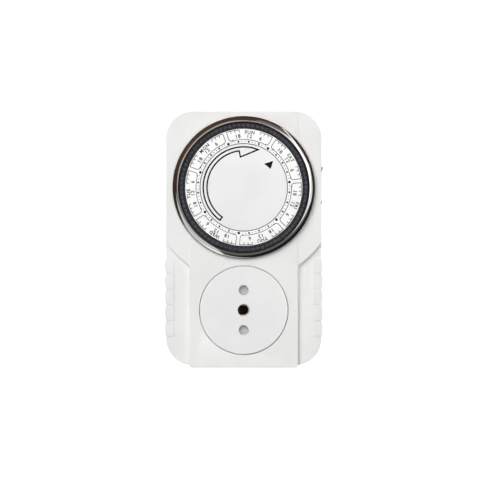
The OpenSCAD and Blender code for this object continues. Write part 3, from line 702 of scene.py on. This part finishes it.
# %% [markdown]
# ## Printing on the dial
# The print is a film of ink, so it is drawn as ribbons of constant width lying on the plastic and
# given a film's thickness by Solidify. Each day has a frame with soft inner corners, a comb of
# three steps at both outer corners, the hours 18, 12 and 6, and the day's name. Dots and ticks
# below the frames mark every two hours.


# %% Ribbons and dots
def unit(vectors):
    """Each vector over its own length."""
    return vectors / np.maximum(np.linalg.norm(vectors, axis=-1, keepdims=True), 1e-12)


def ribbon(line, width, closed=False):
    """Two rails half a width to either side of a line, mitred at corners, and the quads between."""
    line = np.asarray(line, float)
    before = unit(line - np.roll(line, 1, axis=0))
    after = unit(np.roll(line, -1, axis=0) - line)
    if not closed:
        before[0], after[-1] = after[0], before[-1]
    side_a = before[:, ::-1] * [-1, 1]
    side_b = after[:, ::-1] * [-1, 1]
    mitre = unit(side_a + side_b)
    reach = np.clip(1 / np.maximum((mitre * side_a).sum(axis=1), 0.2), 1, 3)[:, None]
    rails = np.stack([line + mitre * reach * width / 2, line - mitre * reach * width / 2], axis=1)
    return rails.reshape(-1, 2), grid_faces(len(line), 2, closed, False)


def dot(radius, clock_angle, size, sides=18):
    """A filled circle of a size, centred at a radius and a clock angle."""
    x, y = clock(radius, clock_angle)
    turn = np.radians(np.arange(sides) * 360 / sides)
    return np.stack([x + size * np.sin(turn), y + size * np.cos(turn)], axis=1), [np.arange(sides)]


def polar_line(radii, angles):
    """Points from radii and clock angles."""
    x, y = clock(np.asarray(radii, float), np.asarray(angles, float))
    return np.stack(np.broadcast_arrays(x, y), axis=1)


print("a dot has", len(dot(1.0, 0.0, 0.5)[0]), "corners")

# %% [markdown]
# All shapes in one ink become one piece. The pad lays a film that can just be felt, so the film has
# a real thickness and stands on the plastic, and it stays sharp from any distance.

# %% Film of ink
INK_FILM = 0.03


def print_on(name, shapes, out, body, material):
    """Joins flat shapes in one piece of ink that faces the viewer, at a level, a film thick."""
    starts = np.cumsum([0] + [len(points) for points, _ in shapes[:-1]])
    flat = np.concatenate([points for points, _ in shapes])
    faces = [np.asarray(f) + s for (_, fs), s in zip(shapes, starts) for f in fs]
    points = front(flat[:, 0], DIAL_UP + flat[:, 1], out + INK_FILM)
    made = piece(name, points, faces, body, material, closed=False)
    away = np.empty(len(made.data.polygons) * 3)
    made.data.polygons.foreach_get("normal", away)
    wrong = away.reshape(-1, 3)[:, 1] > 0
    work = bmesh.new()
    work.from_mesh(made.data)
    work.faces.ensure_lookup_table()
    bmesh.ops.reverse_faces(work, faces=[work.faces[k] for k in np.flatnonzero(wrong)])
    work.to_mesh(made.data)
    work.free()
    film = made.modifiers.new("film", "SOLIDIFY")
    film.thickness = INK_FILM * MM
    film.offset = -1
    return made


print("the ink is", INK_FILM, "mm thick")

# %% [markdown]
# Lettering comes from Blender's own font, which is close enough to the plain letters of a dial and
# saves drawing each stroke. Each word becomes a flat mesh, and its points are then turned so that
# the tops of the letters look away from the centre.


# %% Lettering
CAPITAL_SHARE = 0.72  # height of a capital in that font, as a share of its size


def word_shape(text, height, clock_angle, radius, bold=0.0, spread=1.0):
    """A word's flat points and faces, its middle at a radius and a clock angle, tops outwards."""
    curve = bpy.data.curves.new("word", "FONT")
    curve.body = text
    curve.align_x = "CENTER"
    curve.size = height / CAPITAL_SHARE
    curve.offset = bold
    curve.space_character = spread
    curve.resolution_u = 2
    holder = bpy.data.objects.new("word", curve)
    mesh = bpy.data.meshes.new_from_object(holder)
    spots = np.empty(len(mesh.vertices) * 3)
    mesh.vertices.foreach_get("co", spots)
    flat = spots.reshape(-1, 3)[:, :2]
    flat = flat - [0, flat[:, 1].max() / 2] + [0, radius]
    turn = math.radians(clock_angle)
    spin = np.array([[math.cos(turn), -math.sin(turn)], [math.sin(turn), math.cos(turn)]])
    faces = [list(p.vertices) for p in mesh.polygons]
    bpy.data.objects.remove(holder)
    bpy.data.curves.remove(curve)
    bpy.data.meshes.remove(mesh)
    return flat @ spin, faces


print("the word SAT has", len(word_shape("SAT", 1.0, 0.0, 0.0)[0]), "points")

# %% [markdown]
# Every day takes a seventh of the turn, so one pass of a loop draws it and only the start angle and
# the name change. Fine grey lines and bold black marks are two inks on the real dial, and so they
# are two pieces here.

# %% Day frames, combs, hours and names
WEEK_START = 31.9              # clock angle of the first day's edge
DAY_TURN = 360 / 7
STEP_TURN = 360 / 84
DAY_NAMES = ["SAT", "FRI", "THU", "WED", "TUE", "MON", "SUN"]
FRAME_INNER = 22.75
FRAME_OUTER = 27.4
TOOTH_LENGTH = 1.15
HOUR_R = 24.55
NAME_R = 26.45
DOT_R = 21.85
CORNER = 1.3
EDGE_TURN = 2.0                # from a day's edge to its frame
HAIRLINE = 0.29
NAME_HEIGHT, HOUR_HEIGHT = 1.6, 1.75
HOUR_DOT, DAY_DOT, TICK_DOT = 0.46, 0.64, 0.22


def day_frame(start):
    """Comb, side, rounded inner corner and inner arc of one day, as one open line."""
    low, high = start + EDGE_TURN, start + DAY_TURN - EDGE_TURN
    comb = np.linspace(3 * STEP_TURN, 0, 8)
    quarter = np.radians(np.linspace(0, 90, 6))
    slip = np.degrees(CORNER / FRAME_INNER)
    corner_r = FRAME_INNER + CORNER * (1 - np.sin(quarter))
    corner_a = slip * (1 - np.cos(quarter))
    sweep = np.linspace(low + slip, high - slip, 24)
    radii = [np.full(8, FRAME_OUTER), corner_r, np.full(24, FRAME_INNER), corner_r[::-1],
             np.full(8, FRAME_OUTER)]
    angles = [low + comb, low + corner_a, sweep, high - corner_a[::-1], high - comb[::-1]]
    return polar_line(np.concatenate(radii), np.concatenate(angles))


def comb_teeth(start):
    """Three short lines inwards from the frame's outer corners, at both ends of a day."""
    low, high = start + EDGE_TURN, start + DAY_TURN - EDGE_TURN
    spots = [low + STEP_TURN * k for k in (1, 2, 3)] + [high - STEP_TURN * k for k in (1, 2, 3)]
    return [polar_line([FRAME_OUTER, FRAME_OUTER - TOOTH_LENGTH], [a, a]) for a in spots]


thin, bold = [], []
for day, name in enumerate(DAY_NAMES):
    start = WEEK_START + day * DAY_TURN
    thin.append(ribbon(day_frame(start), HAIRLINE))
    thin += [ribbon(tooth, HAIRLINE) for tooth in comb_teeth(start)]
    bold.append(word_shape(name, NAME_HEIGHT, start + DAY_TURN / 2, NAME_R, 0.06, 1.2))
    for hour, share in (("18", 0.25), ("12", 0.5), ("6", 0.75)):
        thin.append(word_shape(hour, HOUR_HEIGHT, start + DAY_TURN * share, HOUR_R, 0.055, 1.15))
        bold.append(dot(DOT_R, start + DAY_TURN * share, HOUR_DOT))
    bold.append(dot(DOT_R, start, DAY_DOT))
    ticks = [start + STEP_TURN * k for k in range(12) if k % 3]
    thin += [dot(DOT_R, a, TICK_DOT, 10) for a in ticks]
print_on("scale_lines", thin, SCALE_OUT, "dial", GREY_INK)
print_on("scale_marks", bold, SCALE_OUT, "dial", BLACK_INK)
print(len(thin), "fine shapes and", len(bold), "bold ones on the scale")

# %% [markdown]
# The fixed cap carries two marks: a long curved arrow that shows which way the dial turns, drawn
# as an outline, and a solid triangle that points at the present time. Both follow circles about the
# dial's centre, so their points are given as radii and clock angles.

# %% Arrow and time mark
ARROW_OUTER, ARROW_INNER = 19.3, 17.5
ARROW_TAIL, ARROW_NOTCH, ARROW_TIP = -144.0, -7.2, 20.7
ARROW_BARB = ([14.6], [-6.3])
ARROW_LINE = 0.72
arrow_line = np.concatenate([
    polar_line(np.full(60, ARROW_OUTER), np.linspace(ARROW_TAIL, 2, 60)),
    polar_line([19.35, 19.2], [11, ARROW_TIP]),
    polar_line(*ARROW_BARB),
    polar_line(np.full(56, ARROW_INNER), np.linspace(ARROW_NOTCH, ARROW_TAIL, 56))])
arrow = ribbon(arrow_line, ARROW_LINE, True)
print_on("turn_arrow", [arrow], CAP_OUT, "housing", BLACK_INK)
mark = polar_line([14.8, 18.9, 15.5], [40.8, 47.9, 55.5])
print_on("time_mark", [(mark, [[0, 1, 2]])], CAP_OUT, "housing", BLACK_INK)
print("the arrow sweeps", round(ARROW_TIP - ARROW_TAIL, 1), "degrees")

# %% [markdown]
# ## Plug
# Turned pins with a domed tip, nickel-plated, and on the two outer ones a moulded sleeve flush
# with the metal. Each is a profile carried round the pin's axis, as a lathe would cut it, which
# gives the dome and the neck in a dozen points.

# %% Pins and sleeves
PIN_LOW = -19.0      # the tip, from the mating plane
PIN_PITCH = 9.5
PIN_R, NECK_R, SHANK_R, COLLAR_R, AXIS_R = 2.0, 1.5, 1.85, 3.2, 0.3
SLEEVE_LOW = -10.0   # where the sleeve ends and bare metal starts
COLLAR_OUT = (8.2, 9.4)
DOME_WIDE, DOME_HIGH = 0.9, 1.0
dome = np.radians(np.linspace(90, 0, 8))
tip = np.stack([PIN_R - DOME_WIDE + DOME_WIDE * np.cos(dome),
                PIN_LOW + DOME_HIGH - DOME_HIGH * np.sin(dome)], axis=1)
foot = [[SHANK_R, 0], [SHANK_R, COLLAR_OUT[0]], [COLLAR_R, COLLAR_OUT[0]], [COLLAR_R, COLLAR_OUT[1]],
        [AXIS_R, COLLAR_OUT[1]]]
bare_neck = [[PIN_R, 0.0]]
sleeved_neck = [[PIN_R, SLEEVE_LOW], [NECK_R, SLEEVE_LOW], [NECK_R, 0.0]]
pin_spots = {"live_pin": PIN_PITCH, "neutral_pin": -PIN_PITCH, "earth_pin": 0.0}
for name, up in pin_spots.items():
    neck = bare_neck if name == "earth_pin" else sleeved_neck
    shape = np.concatenate([[[AXIS_R, PIN_LOW]], tip, neck, foot])
    made = spindle(name + "_turned", shape, 0, up, "housing", NICKEL)
    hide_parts(name)
sleeve_profile = washer_profile(NECK_R + 0.02, PIN_R, SLEEVE_LOW, 0.0, 0.12)
for name, up in (("live", PIN_PITCH), ("neutral", -PIN_PITCH)):
    sleeve = turned(name + "_sleeve", sleeve_profile, 0, up, "housing", PHENOLIC, 48)
    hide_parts("pin_sleeves")
print("pins", -PIN_LOW, "mm long, outer ones", 2 * PIN_PITCH, "mm apart")

# %% [markdown]
# ## Shutter spring
# Behind the two outer holes a shutter slides aside when a plug goes in, against a small coil
# spring. The spring is wound here as one wire.

# %% Wound spring
WIRE_R = 0.2
SPRING_TURNS = 6.5
spring_low, spring_high = [np.array(c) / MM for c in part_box("shutter_spring")]
spring_middle = (spring_low + spring_high) / 2
spring_length = spring_high[0] - spring_low[0]
coil_r = (spring_high[2] - spring_low[2]) / 2 - WIRE_R


def coil(turns, along, radius, wire, steps=26, sides=8):
    """A wire round the X axis: centre (p t, r cos t, r sin t), its section a circle across it."""
    angle = np.linspace(0, turns * 2 * np.pi, int(turns * steps) + 1)
    rise = along / angle[-1]
    outward = np.stack([0 * angle, np.cos(angle), np.sin(angle)], axis=1)
    travel = unit(np.stack([rise + 0 * angle, -radius * np.sin(angle), radius * np.cos(angle)], axis=1))
    upright = np.cross(travel, outward)
    section = np.arange(sides) * 2 * np.pi / sides
    centre = radius * outward + np.stack([rise * angle, 0 * angle, 0 * angle], axis=1)
    round_wire = (np.cos(section)[None, :, None] * outward[:, None]
                  + np.sin(section)[None, :, None] * upright[:, None])
    faces = list(grid_faces(len(angle), sides, False, True))
    faces += [np.arange(sides)[::-1], np.arange(sides) + (len(angle) - 1) * sides]
    return (centre[:, None] + wire * round_wire).reshape(-1, 3), faces


wire_spots, wire_faces = coil(SPRING_TURNS, spring_length - 2 * WIRE_R, coil_r, WIRE_R * 0.98)
wire_spots = wire_spots + [spring_low[0] + WIRE_R, spring_middle[1], spring_middle[2]]
spring = piece("shutter_spring_wound", wire_spots * MM, wire_faces, "housing", STEEL,
               smooth=60)
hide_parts("shutter_spring")
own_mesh(spring)
print("spring length", round(float(spring_length), 2), "coil radius", round(float(coil_r), 2))

# %% [markdown]
# ## Stage and light
# A pale paper sweep carries the floor up into the background, so no line parts the two. It glows
# only for the lens, which keeps the ground white without sending more light on the case.


# %% Floor and backdrop
FLOOR_LONG, BEND_R, WALL_TOP = 1.2, 0.4, 2.2  # metres
FLOOR_DOWN = 0.16                             # from the socket's axis down to the floor


def sweep(name, material):
    """A floor that curves up into a wall: straight, quarter circle, straight, carried along X."""
    bend = np.radians(np.linspace(-90, 0, 16))
    depth = np.concatenate([[-0.02], FLOOR_LONG + BEND_R * np.cos(bend), [FLOOR_LONG + BEND_R]])
    height = np.concatenate([[0.0], BEND_R + BEND_R * np.sin(bend), [WALL_TOP]]) - FLOOR_DOWN
    across = np.array([-2.0, 2.0])
    y, x = np.meshgrid(depth, across, indexing="ij")
    z = np.broadcast_to(height[:, None], y.shape)
    points = np.stack([x, y, z], axis=-1).reshape(-1, 3)
    mesh = bpy.data.meshes.new(name)
    mesh.from_pydata(points.tolist(), [], grid_faces(len(depth), 2).tolist())
    mesh.materials.append(material)
    made = bpy.data.objects.new(name, mesh)
    bpy.context.collection.objects.link(made)
    return made


paper, paper_tree, paper_shader, _ = finish("white_paper_sweep", Roughness=0.9)
paper_shader.inputs["Base Color"].default_value = linear("#8C8C8C")
paper_shader.inputs["Emission Color"].default_value = (1, 1, 1, 1)
paper_shader.inputs["Specular IOR Level"].default_value = 0.0
seen = add(paper_tree, "ShaderNodeLightPath")
paper_tree.links.new(seen.outputs["Is Camera Ray"], paper_shader.inputs["Emission Strength"])
sweep("floor_sweep", paper)
print("floor", FLOOR_DOWN, "m under the socket's axis")

# %% [markdown]
# The key stands at the upper left, so the steps that face right and down lie in shadow. A fill and
# a wide wash near the lens lift the whole face, and two boxes behind keep the sides and back from
# going dark. The glossy ring mirrors its surroundings, and for that there are cards that show only
# in reflections: two low at the left, two at the right, a thin streak, and two faint ones above and
# below. The room itself is nearly black in reflections, so the ring stays dark between them.


# %% Lights
def soft_box(name, place, aim, size, power, roll=0.0):
    """A rectangular area light at a place, turned to look at a point and rolled about that line."""
    data = bpy.data.lights.new(name, "AREA")
    data.shape = "RECTANGLE"
    data.size, data.size_y = size
    data.energy = power
    made = bpy.data.objects.new(name, data)
    made.location = place
    look = np.array(aim) - np.array(place)
    flat = math.hypot(look[0], look[1])
    facing = Euler((math.atan2(flat, -look[2]), 0, math.atan2(look[1], look[0]) - math.pi / 2))
    made.rotation_euler = (facing.to_matrix() @ Matrix.Rotation(roll, 3, "Z")).to_euler()
    bpy.context.collection.objects.link(made)
    return made


def around(name, clock_angle, off_axis, far, size, power):
    """A soft box at a clock angle and an angle off the line to the lens: size along, then across."""
    side, lean = math.radians(clock_angle), math.radians(off_axis)
    aim = front(0, DIAL_UP, FACE_OUT)
    place = aim + far * np.array([math.sin(lean) * math.sin(side), -math.cos(lean),
                                  math.sin(lean) * math.cos(side)])
    return soft_box(name, place.tolist(), aim.tolist(), size, power, math.radians(90 - clock_angle))


key = around("key_upper_left", 322, 38, 1.5, (1.0, 1.0), 14.6)
key.visible_glossy = False
around("front_fill", 318, 14, 2.0, (1.3, 1.3), 11.4)
wash = around("front_wash", 322, 12, 1.7, (2.0, 2.0), 2.2)
wash.visible_glossy = False
for name, clock_angle in (("back_right", 80), ("back_left", 280)):
    rear = around(name, clock_angle, 122, 1.5, (1.4, 1.4), 15.0)
    rear.visible_glossy = False
    rear.visible_camera = False
cards = [around("card_lower_left", 224, 60, 1.1, (1.5, 0.85), 14.0),
         around("card_lower_left_edge", 196, 86, 1.1, (0.9, 0.35), 3.0),
         around("card_right", 86, 34, 1.2, (1.0, 0.6), 8.0),
         around("card_upper_right", 60, 32, 1.2, (0.9, 0.5), 5.5),
         around("card_streak", 43.5, 56, 1.2, (2.2, 0.09), 4.0),
         around("card_upper_fade", 28, 42, 1.2, (1.0, 0.5), 1.1),
         around("card_bottom", 150, 28, 1.2, (0.8, 1.5), 2.4)]
for card in cards:
    card.visible_diffuse = False
print(len(bpy.data.lights), "lights, and", len(cards), "of them are cards for the ring")

# %% [markdown]
# The air round the piece is white to the lens, a soft grey fill to matt surfaces and nearly black
# to shiny ones. Three backgrounds mixed by the kind of ray give that without one more lamp.

# %% Room
TO_LENS, TO_MATT, TO_SHINY = 1.0, 0.17, 0.03
world = bpy.data.worlds.new("studio")
bpy.context.scene.world = world
world.use_nodes = True
air = world.node_tree
air.nodes.clear()
sees = add(air, "ShaderNodeLightPath")
white = add(air, "ShaderNodeBackground", Color=(1, 1, 1, 1), Strength=TO_LENS)
fill = add(air, "ShaderNodeBackground", Color=(1, 1, 1, 1), Strength=TO_MATT)
dark = add(air, "ShaderNodeBackground", Color=(1, 1, 1, 1), Strength=TO_SHINY)
room = add(air, "ShaderNodeMixShader", _0=sees.outputs["Is Glossy Ray"], _1=fill.outputs[0],
           _2=dark.outputs[0])
both = add(air, "ShaderNodeMixShader", _0=sees.outputs["Is Camera Ray"], _1=room.outputs[0],
           _2=white.outputs[0])
add(air, "ShaderNodeOutputWorld", Surface=both.outputs[0])
bpy.context.scene.view_settings.view_transform = "Standard"
print("room strengths:", TO_LENS, TO_MATT, TO_SHINY)
